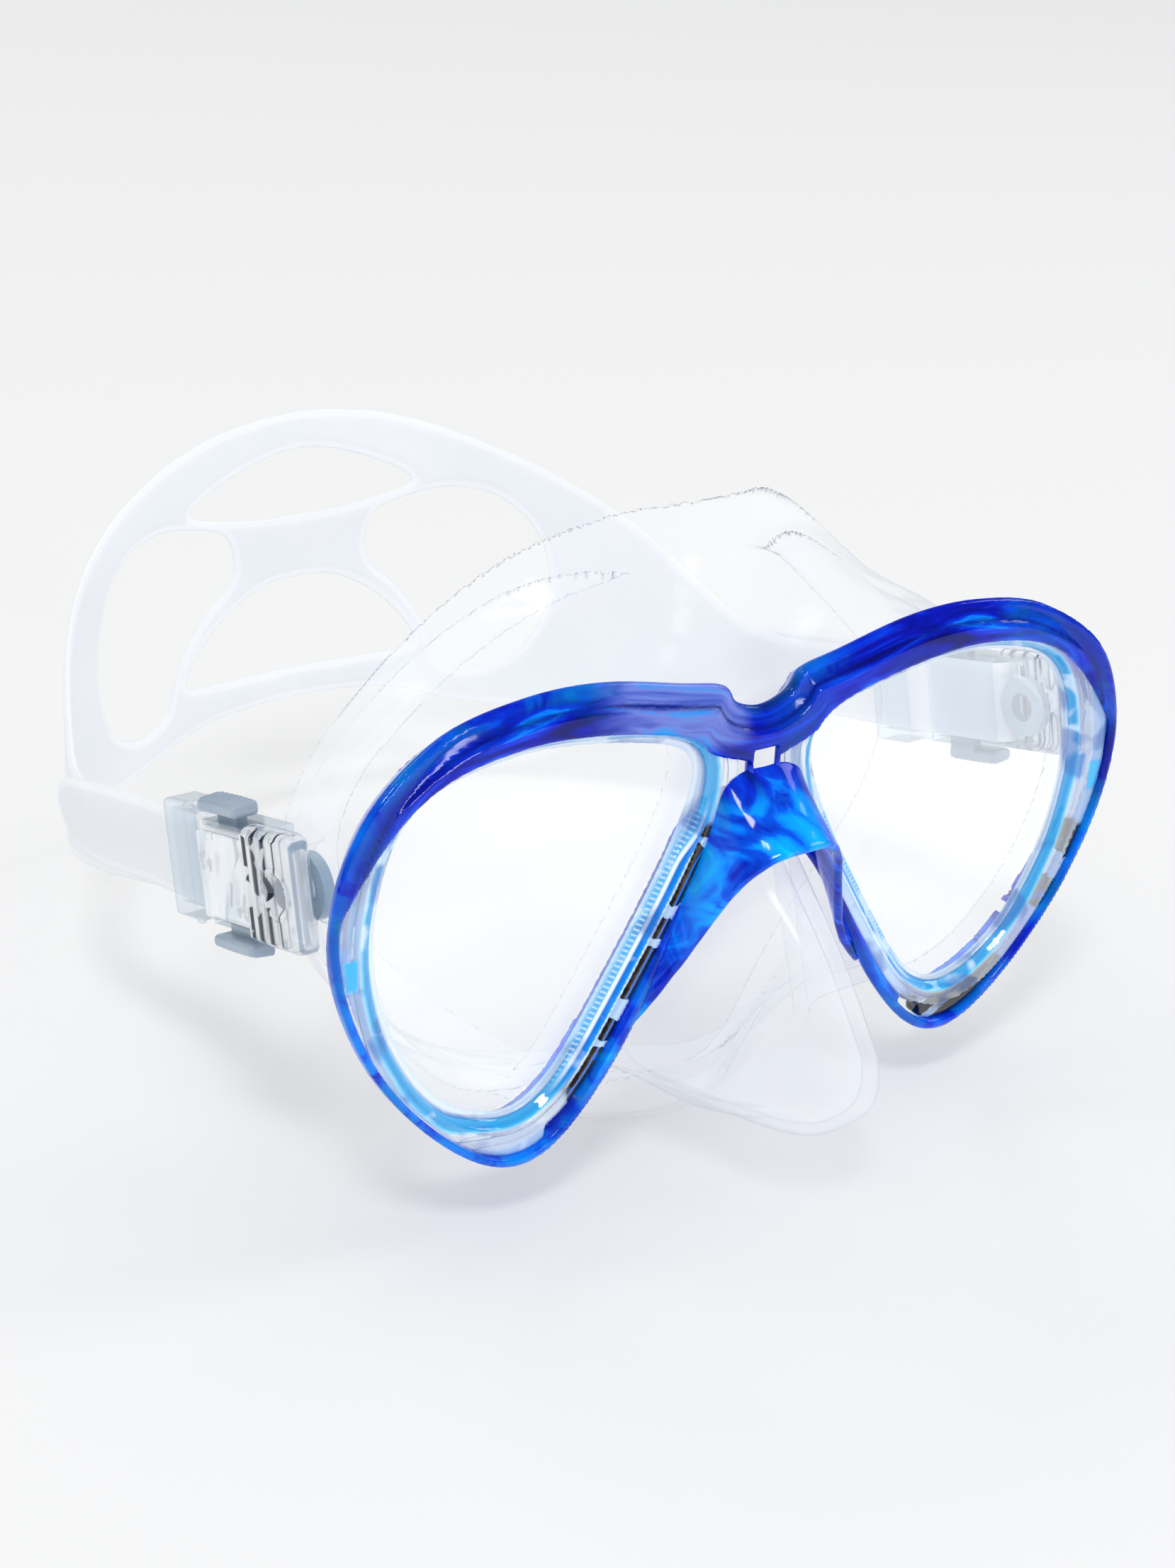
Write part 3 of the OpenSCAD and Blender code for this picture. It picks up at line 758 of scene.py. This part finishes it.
def thick_sheet(rows, half):
    """A closed skin round a sheet of points in rows; the last column is its rounded free edge."""
    along = np.gradient(rows, axis=0)
    down = np.gradient(rows, axis=1)
    normal = np.cross(along, down)
    normal /= np.linalg.norm(normal, axis=2)[:, :, None]
    free = down[:, -1] / np.linalg.norm(down[:, -1], axis=1)[:, None]
    section = [rows + normal * half]
    for angle in np.linspace(0, math.pi, 8)[1:-1]:
        offset = normal[:, -1] * math.cos(angle) + free * math.sin(angle)
        section.append((rows[:, -1] + offset * half)[:, None])
    section.append((rows - normal * half)[:, ::-1])
    grid = np.concatenate(section, axis=1)
    n, m = grid.shape[:2]
    index = np.arange(n * m).reshape(n, m)
    after = np.roll(index, -1, axis=1)
    faces = np.stack([index[:-1], after[:-1], after[1:], index[1:]], -1).reshape(-1, 4)
    ends = []
    for row, flip in ((index[0], 1), (index[-1], -1)):
        for i in range(m // 2 - 1):
            ends.append([row[i], row[m - 1 - i], row[m - 2 - i], row[i + 1]][::flip])
    return grid.reshape(-1, 3), np.vstack([faces, ends])


def spread(line, count):
    """Points at even steps along a line."""
    path = Path(line)
    return path.at(np.linspace(0, path.length, count))


# The right half of the bridge over the nose: where it leaves the frame as (x, z), and its free
# arched edge as (x, y, z).
BRIDGE_TOP = [
    (0, 14.4), (4, 14.4), (7.4, 12.6), (8.8, 8), (10.8, 2), (13.6, -4), (17, -10.5),
    (20.6, -16.5), (24.8, -22.5),
]
BRIDGE_COLUMNS = 70
BRIDGE_ROWS = 40
BRIDGE_FRONT = 0.9
BRIDGE_ARCH = [
    (0, -11.6, 5.3), (4, -11.1, 4.8), (7.6, -9.7, 2.8), (10.6, -7.6, -0.8), (12.8, -5.5, -5.4),
    (15, -3.6, -10.6), (17.4, -1.6, -16), (20.4, -0.2, -21), (24.2, 0.9, -25.6),
]
top_half = spread(smooth_line(BRIDGE_TOP), BRIDGE_COLUMNS)
arch = smooth_line(BRIDGE_ARCH)
arch_height = spread(arch[:, [0, 2]], BRIDGE_COLUMNS)[:, 1]
arch_half = np.column_stack([spread(arch, BRIDGE_COLUMNS), arch_height])
arch_half[:, 1] = np.interp(arch_half[:, 0], *np.array(BRIDGE_ARCH).T[:2])
top_line = np.vstack([top_half[::-1] * [-1, 1], top_half[1:]])[:, None]
arch_line = np.vstack([arch_half[::-1] * [-1, 1, 1], arch_half[1:]])[:, None]
v = np.linspace(0, 1, BRIDGE_ROWS)[None, :, None]
flat = top_line * (1 - v) + arch_line[:, :, [0, 2]] * v
v = v[:, :, 0]
folds = 0.13 * np.sin(v * 20 + 0.05 * flat[:, :, 0] ** 2) * np.sin(v * math.pi)
bulge = BRIDGE_FRONT + (arch_line[:, :, 1] - BRIDGE_FRONT + folds) * v ** 1.15
points, faces = thick_sheet(np.stack([flat[:, :, 0], bulge, flat[:, :, 1]], -1), 0.75)
x, y, z = points.T
# Painted light on the bridge: lighter where it leans forward, darker on its right side and at its top.
bridge_painted_light = 0.55 + 0.45 * ramp(-y, 0.5, 5) - 0.85 * ramp(x, 2, 9) - 0.5 * ramp(z, 9, 13)
none = np.zeros(len(points))
bridge_zones = {
    "depth": np.clip(bridge_painted_light, 0, 1), "haze_and_sheen": none, "line": none,
    "rim": z * 0.8 - y, "run": x * 3, "swirl": none + 1,
}
bridge = make("nose_bridge", points, faces, BLUE, bridge_zones)
attach(bridge, "mask", "frame")

# The rings' stripes differ from side to side, as the photo's one view shows them.
points, faces = skin(ring_field, (5, -0.6, -43), (82, 4.4, 34), (0.55, 0.4, 0.55))
x, z = points[:, 0], points[:, 2]
opening = flat_distance(LENS_LINE, x, z)
nose_side = ramp(x, 40, 32) * ramp(z, 12, 2)
low_side = ramp(z, -8, -16)
outer_side = ramp(x, 48, 60)
corner = ramp(z, 0, 7) * ramp(x, 30, 22)
tab = ramp(opening, 4.3, 4.5) * ramp(opening, 6.9, 6.7) * ramp(x, 66, 68)
tab = tab * ramp(z, -5.6, -5.2) * ramp(z, 0.2, -0.2)
inner_gap = ramp(opening, 2.9, 3.2) * ramp(opening, 5.2, 4.9) * nose_side
outer_gap = ramp(opening, 4.2, 4.6) * ramp(opening, 7.6, 7.2) * low_side * (1 - nose_side)
for side, name in SIDES:
    spreading = 0.15 if side > 0 else -0.42
    across = opening / 8 * (1 + spreading * outer_side) * (1 - 0.35 * corner)
    ring_zones = {
        "across": across, "shade": outer_gap if side > 0 else inner_gap,
        "nose": nose_side, "along": z - 0.5 * x, "tab": tab,
    }
    ring = make(
        "ring_skin_" + name, points * [side, 1, 1], wound(faces, side > 0), RING, ring_zones,
    )
    attach(ring, "mask", "ring", "lens_ring_" + name)

# ---------------------------------------------------------------- skirt

# Where the skirt's wall leaves the back of the frame.
SKIRT_Y = 7


def rim_depth(x):
    """How far back the seal lies: least at the middle of the face, most at the temples."""
    return 18 + 18.5 * (1 - np.exp(-((x / 26) ** 2)))


def skirt_field(x, y, z):
    """The clear skirt: a flared wall, a nose pocket, a flat sealing flange and two side lugs."""
    ax = np.abs(x)
    start = flat_distance(SKIRT_FRONT_LINE, x, z)
    end = flat_distance(SEAL_LINE, x, z)
    back = rim_depth(ax)
    share = np.clip((y - SKIRT_Y) / (back - SKIRT_Y), 0, 1.2)
    curve = share * share * (1.6 - 0.6 * share)
    wall = start * (1 - curve) + end * curve
    wall = wall - 1.1 * ramp(share, 0.48, 0.60) + 0.6 * share
    steep = np.sqrt(1 + ((end - start) / (back - SKIRT_Y) * 1.3) ** 2)
    main = np.maximum(wall / steep, SKIRT_Y + 0.3 - y)
    width = 7.8 + 0.30 * (y + 25) - 0.25 * np.maximum(z + 32, -4) - 1.2 * np.maximum(-38 - z, 0)
    nose = meet(flat_distance(NOSE_LINE, y, z), (ax - np.clip(width, 3, 34)) * 0.85, 6.0)
    shell = join(main, nose, 5.0)
    thick = 1.0 - 0.45 * ramp(share, 0.8, 1.0)
    shell = np.abs(shell + thick) - thick
    shell = np.maximum(shell, y - back)
    hole = flat_distance(LENS_LINE, ax, z) + 0.4
    shell = np.maximum(shell, -np.maximum(np.maximum(hole, start + 2.0), y - 10.5))
    flange = np.maximum(np.abs(y - back + 0.9) * 0.8 - 0.6, np.maximum(end - 0.2, -9 - end))
    from_pin = np.sqrt((y - SWIVEL[1]) ** 2 + (z - SWIVEL[2]) ** 2)
    lug = from_pin - 6.2 - 3.2 * (1 - ramp(ax, 64, 71))
    lug = np.maximum(lug, np.maximum(ax - 73.0, -1.3 - wall / steep))
    lug = np.maximum(lug, 50 - ax)
    whole = join(join(shell, flange, 1.0), lug, 1.2)
    in_frame = np.maximum(y - SKIRT_Y - 0.05, flat_distance(FRAME_LINE, x, z) - 0.3)
    return np.maximum(whole, -in_frame)


points, faces = skin(skirt_field, (-76, -34, -61), (76, 39, 58), 0.72)
skirt = make("skirt_skin", points, faces, RUBBER)
attach(skirt, "mask", "skirt", "skirt")

# ---------------------------------------------------------------- strap

STRAP_T = 1.5
STRAP_HALF_WIDTH = 7.3
# The rim attribute runs from 0 at a cut edge to 1 this far in.
RIM_REACH = 8

# The rear of the strap laid flat, as (length from the middle, z).
PAD = [
    (0, 35.5), (15, 34), (28, 30.5), (43, 24.7), (59, 17.6), (73, 10.5), (87, 1.8), (99, -4.6),
    (112, -4.4), (125, -0.9), (138, 2.3), (147, 4.6), (152, 5.8), (152, -9.0), (147, -10.4),
    (138, -12.7), (125, -15.9), (112, -19.0), (100, -21.9), (88, -25.5), (76, -28.8),
    (62, -31), (50, -31.3), (36, -30), (20, -25.3), (0, -24),
]
TOP_OPENING = [(0, 28), (13, 25.3), (25.5, 18.6), (13, 15.2), (0, 14.5)]
LOW_OPENING = [(0, 1.6), (9, 0.5), (20, -6.5), (26.5, -16.6), (12, -17.7), (0, -17.5)]
# Given as seen from behind, so its first numbers are distances across the head.
SIDE_OPENING = [
    (15, 6.5), (17, 12.6), (24, 15.2), (34, 16.4), (43, 14), (50, 6), (52, -6),
    (48, -18), (40, -23.5), (32, -21.5), (28.5, -12), (22.5, -3.5), (17, 1.5),
]
# The right half of the loop seen from above, as (x, y), from the middle of the rear to the end.
RUN_X = 74.8
LOOP = [
    (0, 147), (25.5, 145), (42.3, 139), (54.7, 130), (64.2, 118.5), (70.6, 106.5), (75.3, 94),
    (77, 82), (76.4, 70), (RUN_X + 0.4, 57), (RUN_X, 48),
]

half = smooth_line(LOOP)
loop_path = Path(np.vstack([half[::-1], half[1:] * [-1, 1]]))
middle = loop_path.length / 2


def at_length(anchors):
    """Anchors given across the rear of the strap, moved to lengths along it."""
    path = Path(half)
    widest = np.argmax(path.p[:, 0])
    across, along = path.p[:widest, 0], path.s[:widest]
    return [(float(np.interp(x, across, along)), z) for x, z in anchors]


pad_line = smooth_loop(both_halves(PAD), 4)
openings = [
    smooth_loop(both_halves(TOP_OPENING), 5), smooth_loop(both_halves(LOW_OPENING), 5),
]
side_line = smooth_loop(at_length(SIDE_OPENING), 5)


def strap_edge(s, z):
    """Distance from the cut outline of the loop laid flat, negative in the silicone."""
    edge = flat_distance(pad_line, s, z)
    for line in openings:
        edge = np.maximum(edge, -flat_distance(line, s, z))
    return np.maximum(edge, -flat_distance(side_line, np.abs(s), z))


def strap_field(s, z, t):
    """The loop laid flat: s along it, z up, t through its thickness."""
    edge = strap_edge(s, z)
    end = np.abs(s) - middle + 1.0
    thick = STRAP_T / 2 - 0.35 * (1 - ramp(-edge, 0.0, 2.6))
    return meet(np.maximum(edge, end), np.abs(t) - thick, 0.35)


points, faces = skin(
    strap_field, (-middle - 2, -34, -1.5), (middle + 2, 38.5, 1.5), (0.9, 0.8, 0.32),
)
s, z, t = points.T
outwards = loop_path.normal(s + middle)
place = loop_path.at(s + middle) + outwards * (-t - STRAP_T / 2)[:, None]
loop_points = np.stack([place[:, 0], place[:, 1], z], 1)
strap_rim = np.clip(-strap_edge(s, z) / RIM_REACH, 0, 1)
strap = make("strap_skin", loop_points, faces, MILKY, {"rim": strap_rim})
attach(strap, "buckle_left", "strap", "strap")

# The strap's ends in buckle coordinates: forwards next to the head, round the roller, and back on
# the outside as a tail.
ROLLER = (1.6, 8.0)
ROLLER_R = 1.3
WRAP_R = ROLLER_R + 0.15 + STRAP_T / 2
TAIL = [(3.05, 24), (0.5, 30), (0.5, 39), (1.1, 46), (2.2, 58), (2.3, 70), (0.6, 80), (-0.9, 87)]
TAIL_SIDE = [
    (20, -7.3), (39, -7.3), (50, -5.9), (66, -4.9), (76, -3.4), (82, -1.4), (85.4, 2.0),
    (84.4, 5.4), (80, 7.6), (72, 8.9), (60, 9), (50, 8.4), (39, 7.3), (20, 7.3),
]
turn = [
    (ROLLER[0] - WRAP_R * math.cos(a), ROLLER[1] - WRAP_R * math.sin(a))
    for a in np.linspace(0, math.pi, 24)
]
first_layer = [(ROLLER[0] - WRAP_R, y) for y in np.linspace(38, 8.5, 20)]
tail_line = smooth_line([(ROLLER[0] + WRAP_R, 9), (3.6, 16)] + [(x + 0.75, y) for x, y in TAIL])
end_path = Path(np.vstack([first_layer, turn, tail_line]))
tail_outline = smooth_loop(TAIL_SIDE, 3)
tail_start = 30.0 + WRAP_R * math.pi + 15


def end_edge(s, z):
    """Distance from the sides of a strap end: straight up to the tail, and shaped from there."""
    y = np.interp(s, end_path.s, end_path.p[:, 1])
    straight = np.abs(z) - STRAP_HALF_WIDTH
    return np.where(s > tail_start, flat_distance(tail_outline, y, z), straight)


def end_field(s, z, t):
    """A strap end laid flat, with thinner edges."""
    edge = np.maximum(end_edge(s, z), np.maximum(0.5 - s, s - end_path.length + 0.3))
    thick = STRAP_T / 2 - 0.3 * (1 - ramp(-edge, 0.0, 1.2))
    return meet(edge, np.abs(t) - thick, 0.3)


points, faces = skin(end_field, (-1, -9, -1.4), (end_path.length + 1, 11, 1.4), (0.5, 0.6, 0.3))
s, z, t = points.T
place = end_path.at(s) + end_path.normal(s) * t[:, None]
local = np.stack([place[:, 0], place[:, 1], z], 1)
end_rim = np.clip(-end_edge(s, z) / RIM_REACH, 0, 1)
# Both ends ride the left buckle with the rest of the strap.
for side, name in SIDES:
    end = make(
        "strap_end_" + name, to_part(local, side), wound(faces, side < 0), MILKY, {"rim": end_rim},
    )
    attach(end, "buckle_left", "strap")

# ---------------------------------------------------------------- buckles


def cover_field(x, y, z):
    """The clear cover: a ridged hood with a dish over the swivel, and a plate with a raised end."""
    hood = box_field(x, y, z, (1.7, -8.1, -9.2), (5.7, 10.2, 9.2), 1.5)
    hollow = box_field(x, y, z, (-2, -6.9, -8.4), (4.7, 12, 8.4), 0.8)
    under = -0.811 * (x - 1.6) - 0.586 * (y + 4.4)
    corner = -0.596 * (y + 4.6) + 0.803 * (np.abs(z) - 9.2)
    hood = meet(meet(hood, under, 0.4), corner, 0.8)
    hollow = np.maximum(np.maximum(hollow, under + 1), corner + 1)
    shell = np.maximum(hood, -hollow)
    plate = box_field(x, y, z, (4.7, 9.0, -7.0), (5.7, 23.5, 7.0), 0.35)
    body = join(shell, plate, 0.4)
    for at in (-1.6, 2.0, 5.2, 8.2):
        bar = box_field(x, y, z, (5.3, at, -8.2), (6.05, at + 1.1, 8.2), 0.3)
        body = join(body, bar, 0.25)
    edge = box_field(x, y, z, (5.3, 21.8, -7.0), (6.0, 23.5, 7.0), 0.3)
    body = join(body, edge, 0.25)
    radius = np.sqrt((y + 0.2) ** 2 + z * z)
    cone = np.maximum(radius - 3.4 + 1.0 * (6.2 - x), 4.2 - x)
    rimmed = join(body, np.maximum(np.abs(radius - 3.7) - 0.4, np.abs(x - 5.6) - 0.5), 0.3)
    return np.maximum(rimmed, -cone)


def keeper_field(x, y, z):
    """The loop that holds the strap's free end, with a lip at its front."""
    outer = box_field(x, y, z, (-2.9, 30, -9.7), (3.6, 39, 9.7), 0.9)
    inner = box_field(x, y, z, (-1.6, 28, -7.8), (2.25, 41, 7.8), 0.4)
    lip = box_field(x, y, z, (2.6, 29.6, -9.9), (3.9, 31.2, 9.9), 0.5)
    return meet(join(outer, lip, 0.3), -inner, 0.3)


def button_field(x, y, z):
    """The upper button: a ribbed cap with a tongue into the buckle."""
    high = 12.35 - 0.10 * np.maximum(x - 1.2, 0) - 0.004 * (y - 17) ** 2
    cap = box_field(x, y, z, (0.9, 10.8, 9.95), (5.6, 22.9, 13.4), 0.8)
    cap = meet(cap, z - high, 0.7)
    ribs = 0.2 * np.cos((y - 12.4) * 2 * math.pi / 1.5) * ramp(z, 11.2, 11.7)
    ribs = ribs * ramp(np.abs(x - 3.1), 1.9, 1.6)
    tongue = box_field(x, y, z, (0.6, 15.7, 6.4), (2.7, 21.9, 10.6), 0.2)
    return join(cap - ribs, tongue, 0.2)


def buckle_piece(stem, field, box, step, node, material, slot, up=1):
    """One skin on each buckle, in place of a CAD node; up is -1 for a piece turned upside down."""
    points, faces = skin(field, *box, step)
    y = points[:, 1]
    zones = None
    if material is MOULDED:
        zones = {"run": (y + 10) / 35, "front": ramp(y, -5.2, -5.5) * ramp(y, -6.9, -6.6)}
    for side, name in SIDES:
        placed = to_part(points * [1, 1, up], side)
        piece = make(stem + name, placed, wound(faces, side * up > 0), material, zones)
        body = "buckle_" if node == "buckle_cover_" else node
        attach(piece, body + name, slot, node + name)


COVER_BOX = ((0.5, -9.5, -10.5), (7, 25, 10.5))
KEEPER_BOX = ((-4, 28.5, -11), (5, 40.5, 11))
BUTTON_BOX = ((-0.2, 10, 5.6), (6.5, 24, 14))
buckle_piece("cover_skin_", cover_field, COVER_BOX, 0.34, "buckle_cover_", MOULDED, "clear")
buckle_piece("keeper_skin_", keeper_field, KEEPER_BOX, 0.4, "strap_keeper_", MILK_CRYSTAL, "clear")
buckle_piece("button_skin_top_", button_field, BUTTON_BOX, 0.28, "button_top_", GREY, "grey")
buckle_piece("button_skin_low_", button_field, BUTTON_BOX, 0.28, "button_bottom_", GREY, "grey", -1)

# ---------------------------------------------------------------- CAD pieces that stay

# Material and bevel width in millimetres for each kind of CAD node.
LOOKS = {
    "lens": (GLASS, 0.25), "buckle_base": (CRYSTAL, 0.2), "swivel_pin": (CRYSTAL, 0.15),
    "swivel_disc": (DISC, 0.3), "strap_roller": (GREY, 0.1), "roller_pin": (STEEL, 0.08),
    "pawl": (GREY, 0.1), "pawl_pin": (STEEL, 0.08), "button_spring": (STEEL, 0.0),
}
for name, node in NODES.items():
    stem = name.rsplit("_", 1)[0]
    if stem not in LOOKS:
        continue
    material, width = LOOKS[stem]
    node.data.materials.clear()
    node.data.materials.append(material)
    if width:
        edge = node.modifiers.new("bevel", "BEVEL")
        edge.width = width * MM
        edge.segments = 3
        edge.limit_method = "ANGLE"
        edge.harden_normals = True

# ---------------------------------------------------------------- stage, light, camera

# The sky's strength for the background and soft light, and the weaker one seen in reflections.
SKY_STRENGTH = 0.897
REFLECTED_SKY = 0.13
# Solved from the photo: the camera's place in millimetres, its focal length, and its axes.
CAMERA_PLACE = (-272.9, -315.4, 190.6)
FOCAL_LENGTH = 65.05
CAMERA_BACK = (-0.5522, -0.7328, 0.3975)
CAMERA_RIGHT = (0.8102, -0.5844, 0.048)

scene = bpy.context.scene
floor_z = CAD_BOUNDS[0][2] - 0.0005
bpy.ops.mesh.primitive_plane_add(size=12, location=(0, 0, floor_z))
floor = bpy.context.object
floor.name = "floor"
paint = Nodes("floor_paint")
floor.data.materials.append(paint.finish(paint.principled((0.80, 0.80, 0.80), 0.9)))

world = bpy.data.worlds.new("studio")
scene.world = world
world.use_nodes = True
sky = world.node_tree.nodes["Background"]
sky.inputs["Color"].default_value = (0.99, 0.995, 1.0, 1)
rays = world.node_tree.nodes.new("ShaderNodeLightPath")
level = world.node_tree.nodes.new("ShaderNodeMapRange")
level.inputs["To Min"].default_value = SKY_STRENGTH
level.inputs["To Max"].default_value = REFLECTED_SKY
world.node_tree.links.new(rays.outputs["Is Glossy Ray"], level.inputs["Value"])
world.node_tree.links.new(level.outputs["Result"], sky.inputs["Strength"])


def soft_light(name, location, target, size, power):
    """A rectangular lamp, in metres and watts, turned to face the target."""
    lamp = bpy.data.lights.new(name, "AREA")
    lamp.shape = "RECTANGLE"
    lamp.size, lamp.size_y = size
    lamp.energy = power
    obj = bpy.data.objects.new(name, lamp)
    scene.collection.objects.link(obj)
    obj.location = location
    aim = Vector(target) - Vector(location)
    obj.rotation_euler = aim.to_track_quat("-Z", "Y").to_euler()


soft_light("key", (-0.9, -1.0, 1.9), (0, 0.02, 0), (0.45, 0.35), 11.5)
soft_light("fill", (1.9, -0.6, 1.2), (0, 0.02, 0), (0.8, 0.8), 7)
soft_light("glint", (0.42, -1.56, 0.24), (0, 0, 0.02), (0.30, 0.16), 2.2)
soft_light("rear", (-0.5, 2.0, 1.8), (0, 0.05, 0), (1.2, 0.6), 6)

camera_data = bpy.data.cameras.new("camera")
camera_data.sensor_width = 36
camera_data.lens = FOCAL_LENGTH
camera_data.clip_start = 0.01
camera = bpy.data.objects.new("camera", camera_data)
scene.collection.objects.link(camera)
back = Vector(CAMERA_BACK).normalized()
up = back.cross(Vector(CAMERA_RIGHT).normalized()).normalized()
right = up.cross(back)
turned = Matrix((right, up, back)).transposed().to_4x4()
camera.matrix_world = Matrix.Translation(Vector(CAMERA_PLACE) * MM) @ turned
scene.camera = camera
scene.view_settings.view_transform = "Standard"
scene.cycles.transparent_max_bounces = 24
scene.cycles.max_bounces = 8
